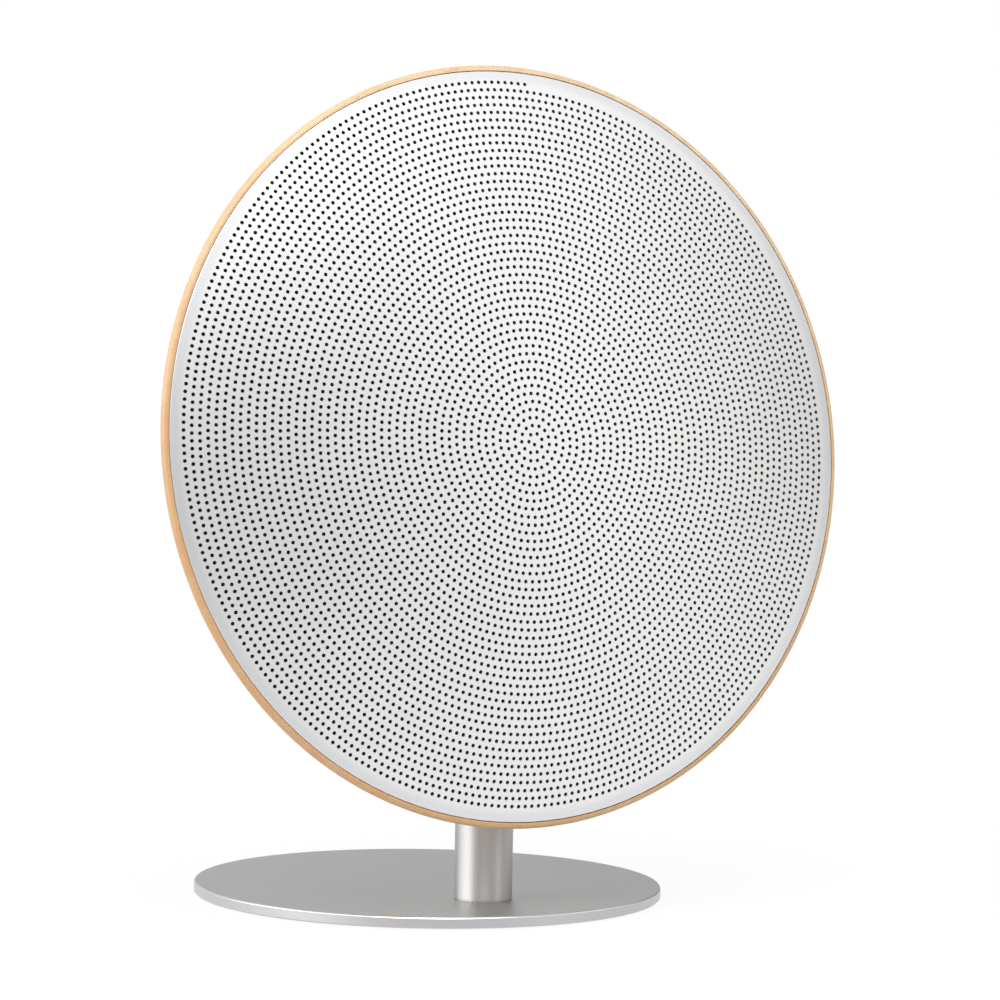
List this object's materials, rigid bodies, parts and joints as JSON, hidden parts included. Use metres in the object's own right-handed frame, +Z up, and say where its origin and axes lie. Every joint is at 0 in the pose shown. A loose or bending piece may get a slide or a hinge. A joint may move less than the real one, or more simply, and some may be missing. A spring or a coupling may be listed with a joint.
{
  "type": "bluetooth speaker",
  "caption": "Tabletop speaker: a leaning round wooden bowl closed by a domed grille drilled in a spiral, on a short round stem and a thin round metal base.",
  "frame": {"origin": "centre of the underside, on the surface that the speaker stands on", "axes": "+Z up, the grille faces -Y, +X to the right seen from the front"},
  "size_m": [0.2, 0.1258, 0.223],
  "materials": {
    "base_metal": "bead-blasted and clear anodised, with a bright turned chamfer",
    "stem_metal": "satin anodised",
    "foot_rubber": "matt",
    "screw_steel": "zinc plated",
    "seal_rubber": "matt",
    "cast_metal": "as cast",
    "wood": "pale beech, turned, oiled",
    "inner_plastic": "moulded",
    "grille_metal": "fine satin, silver white",
    "cloth": "open acoustic cloth",
    "basket_steel": "painted",
    "cone": "coated paper",
    "coil": "enamelled wire",
    "spider_cloth": "resin-dipped cloth",
    "motor_steel": "plated",
    "magnet": "sintered",
    "board": "solder mask",
    "shield_metal": "tinned",
    "battery_wrap": "shrink sleeve",
    "port_plastic": "fine texture",
    "button_plastic": "smooth",
    "light_guide": "clear white"
  },
  "bodies": {
    "speaker": {"foot_pad": "foot_rubber", "base_plate": "base_metal", "base_screw": "screw_steel", "stem": "stem_metal", "stem_washer": "seal_rubber", "stem_bracket": "cast_metal", "bracket_screws": "screw_steel", "stem_set_screw": "screw_steel", "wood_shell": "wood", "baffle": "inner_plastic", "baffle_gasket": "seal_rubber", "baffle_screws": "screw_steel", "grille": "grille_metal", "grille_cloth": "cloth", "grille_ring": "inner_plastic", "left_frame": "basket_steel", "left_surround": "seal_rubber", "left_spider": "spider_cloth", "left_top_plate": "motor_steel", "left_magnet": "magnet", "left_yoke": "motor_steel", "right_frame": "basket_steel", "right_surround": "seal_rubber", "right_spider": "spider_cloth", "right_top_plate": "motor_steel", "right_magnet": "magnet", "right_yoke": "motor_steel", "driver_screws": "screw_steel", "radiator_frame": "basket_steel", "radiator_surround": "seal_rubber", "radiator_screws": "screw_steel", "main_board": "board", "board_screws": "screw_steel", "wireless_module": "shield_metal", "battery_pack": "battery_wrap", "battery_pad": "seal_rubber", "battery_strap": "motor_steel", "strap_screws": "screw_steel", "port_plate": "port_plastic", "port_screws": "screw_steel", "control_board": "board", "control_board_screws": "screw_steel", "charging_socket": "shield_metal", "status_light": "light_guide"},
    "left_cone": {"left_cone": "cone", "left_dust_cap": "cone", "left_voice_coil": "coil"},
    "right_cone": {"right_cone": "cone", "right_dust_cap": "cone", "right_voice_coil": "coil"},
    "radiator_plate": {"radiator_plate": "cone"},
    "power_button": {"power_button": "button_plastic"},
    "volume_down_button": {"volume_down_button": "button_plastic"},
    "volume_up_button": {"volume_up_button": "button_plastic"}
  },
  "joints": [
    {"name": "left_cone_travel", "type": "slide", "parent": "speaker", "child": "left_cone", "axis": [0, -0.9891, 0.1469], "range_m": [-0.001, 0.001], "stiffness_N_per_m": 1500, "deforming": ["left_surround", "left_spider"]},
    {"name": "right_cone_travel", "type": "slide", "parent": "speaker", "child": "right_cone", "axis": [0, -0.9891, 0.1469], "range_m": [-0.001, 0.001], "stiffness_N_per_m": 1500, "deforming": ["right_surround", "right_spider"]},
    {"name": "radiator_travel", "type": "slide", "parent": "speaker", "child": "radiator_plate", "axis": [0, -0.9891, 0.1469], "range_m": [-0.0015, 0.0015], "stiffness_N_per_m": 900, "deforming": ["radiator_surround"]},
    {"name": "power_press", "type": "slide", "parent": "speaker", "child": "power_button", "axis": [0, -0.9891, 0.1469], "range_m": [0, 0.0005], "stiffness_N_per_m": 1200},
    {"name": "volume_down_press", "type": "slide", "parent": "speaker", "child": "volume_down_button", "axis": [0, -0.9891, 0.1469], "range_m": [0, 0.0005], "stiffness_N_per_m": 1200},
    {"name": "volume_up_press", "type": "slide", "parent": "speaker", "child": "volume_up_button", "axis": [0, -0.9891, 0.1469], "range_m": [0, 0.0005], "stiffness_N_per_m": 1200}
  ]
}
